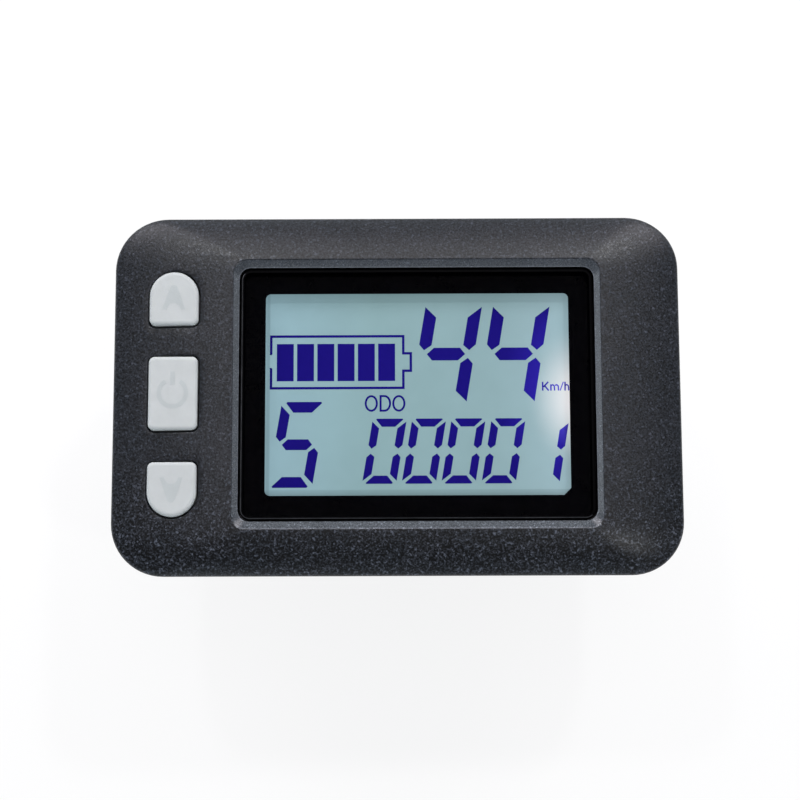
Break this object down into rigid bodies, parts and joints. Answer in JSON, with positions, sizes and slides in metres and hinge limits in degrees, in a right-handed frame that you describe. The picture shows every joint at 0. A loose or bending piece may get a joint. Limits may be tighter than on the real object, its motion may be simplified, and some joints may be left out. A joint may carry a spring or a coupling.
{
  "type": "electric bicycle handlebar display",
  "caption": "Handlebar display for an electric bicycle: flat housing with a clear window over a segment display, a column of press keys, and a bolted bar clamp behind.",
  "frame": {"origin": "centre of the handlebar clamp's bore", "axes": "+X along the handlebar, to the right of the screen; +Y towards the top of the screen, the way the bicycle rides; +Z out of the face"},
  "size_m": [0.086, 0.0548, 0.0481],
  "materials": {
    "housing_plastic": "fine spark-eroded texture, matte",
    "back_plastic": "fine spark-eroded texture, matte",
    "clamp_plastic": "glass-filled nylon, matte",
    "rubber": "matte",
    "steel": "plated, satin",
    "lens_glass": "polished clear window",
    "mask_ink": "black ink behind the window",
    "tape": "foam tape",
    "foam": "black foam",
    "polarizer_film": "satin film",
    "display_glass": "polished",
    "cell_resin": "cured resin",
    "guide_plastic": "clear moulding",
    "white_plastic": "satin white",
    "zebra_rubber": "layered silicone",
    "board_green": "solder mask, satin",
    "chip_black": "moulded epoxy",
    "can_metal": "satin can",
    "key_silicone": "pale silicone, matte",
    "frame_plastic": "moulded, satin",
    "brass": "knurled"
  },
  "bodies": {
    "display": {"front_housing": "housing_plastic", "rear_housing": "back_plastic", "housing_seal": "rubber", "housing_screws": "steel", "window_lens": "lens_glass", "window_mask": "mask_ink", "window_tape": "tape", "lcd_cushion": "foam", "lcd_front_polarizer": "polarizer_film", "lcd_front_glass": "display_glass", "lcd_cell_seal": "cell_resin", "lcd_rear_glass": "display_glass", "lcd_rear_polarizer": "polarizer_film", "light_guide": "guide_plastic", "guide_reflector": "white_plastic", "backlight_leds": "white_plastic", "lcd_frame": "white_plastic", "zebra_strip": "zebra_rubber", "main_board": "board_green", "board_screws": "steel", "mcu_chip": "chip_black", "driver_chip": "chip_black", "memory_chip": "chip_black", "voltage_regulator": "chip_black", "power_inductor": "chip_black", "filter_capacitor": "can_metal", "chip_resistors": "chip_black", "wire_header": "white_plastic", "keypad_mat": "key_silicone", "keypad_frame": "frame_plastic", "skirt_up": "key_silicone", "skirt_power": "key_silicone", "skirt_down": "key_silicone", "switch_base_up": "chip_black", "switch_base_power": "chip_black", "switch_base_down": "chip_black", "switch_cover_up": "steel", "switch_cover_power": "steel", "switch_cover_down": "steel", "snap_dome_up": "steel", "snap_dome_power": "steel", "snap_dome_down": "steel", "cable_grommet": "rubber", "clamp_saddle": "clamp_plastic", "clamp_cap": "clamp_plastic", "saddle_liner": "rubber", "cap_liner": "rubber", "clamp_bolts": "steel", "clamp_nuts": "steel", "saddle_screws": "steel", "threaded_inserts": "brass"},
    "key_up": {"key_up": "key_silicone"},
    "plunger_up": {"plunger_up": "chip_black"},
    "key_power": {"key_power": "key_silicone"},
    "plunger_power": {"plunger_power": "chip_black"},
    "key_down": {"key_down": "key_silicone"},
    "plunger_down": {"plunger_down": "chip_black"}
  },
  "joints": [
    {"name": "press_up", "type": "slide", "parent": "display", "child": "key_up", "axis": [0, 0, -1], "range_m": [0, 0.0006], "stiffness_N_per_m": 2500, "deforming": ["skirt_up"]},
    {"name": "click_up", "type": "slide", "parent": "display", "child": "plunger_up", "axis": [0, 0, -1], "range_m": [0, 0.0003], "deforming": ["snap_dome_up"]},
    {"name": "press_power", "type": "slide", "parent": "display", "child": "key_power", "axis": [0, 0, -1], "range_m": [0, 0.0006], "stiffness_N_per_m": 2500, "deforming": ["skirt_power"]},
    {"name": "click_power", "type": "slide", "parent": "display", "child": "plunger_power", "axis": [0, 0, -1], "range_m": [0, 0.0003], "deforming": ["snap_dome_power"]},
    {"name": "press_down", "type": "slide", "parent": "display", "child": "key_down", "axis": [0, 0, -1], "range_m": [0, 0.0006], "stiffness_N_per_m": 2500, "deforming": ["skirt_down"]},
    {"name": "click_down", "type": "slide", "parent": "display", "child": "plunger_down", "axis": [0, 0, -1], "range_m": [0, 0.0003], "deforming": ["snap_dome_down"]}
  ],
  "couplings": [
    {"joint": "click_up", "follows": "press_up", "ratio": 0.5},
    {"joint": "click_power", "follows": "press_power", "ratio": 0.5},
    {"joint": "click_down", "follows": "press_down", "ratio": 0.5}
  ]
}
